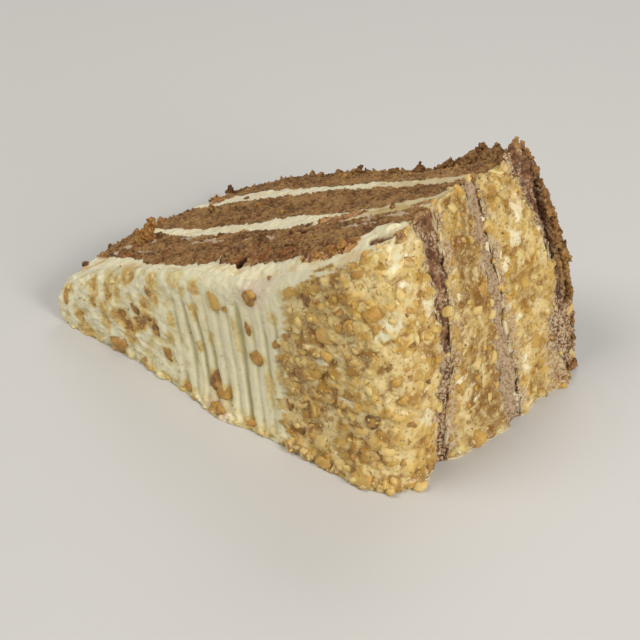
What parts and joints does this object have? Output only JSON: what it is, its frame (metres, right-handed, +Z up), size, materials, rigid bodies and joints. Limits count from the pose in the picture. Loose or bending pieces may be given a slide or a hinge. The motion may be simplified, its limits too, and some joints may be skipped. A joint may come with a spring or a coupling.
{
  "type": "carrot cake slice",
  "caption": "Wedge of layered carrot cake lying on a cut side, with cream fillings, combed top frosting and a rim pressed with chopped nuts.",
  "frame": {"origin": "centre of the footprint of the lying slice, on the plate", "axes": "+X from the wedge's point to the nut-covered rim, +Y from the combed top frosting through the layers to the base, +Z up from the lower cut side"},
  "size_m": [0.1302, 0.087, 0.0701],
  "materials": {
    "frosting": "soft satin cream cheese frosting, combed in ridges",
    "sponge": "moist brown crumb, matte and porous",
    "cream_filling": "smooth cream cheese filling, soft satin",
    "chopped_nuts": "chopped walnut, pale yellow with brown skin specks"
  },
  "bodies": {
    "root": {"top_frosting": "frosting", "top_sponge": "sponge", "upper_filling": "cream_filling", "middle_sponge": "sponge", "lower_filling": "cream_filling", "bottom_sponge": "sponge"}
  },
  "joints": []
}
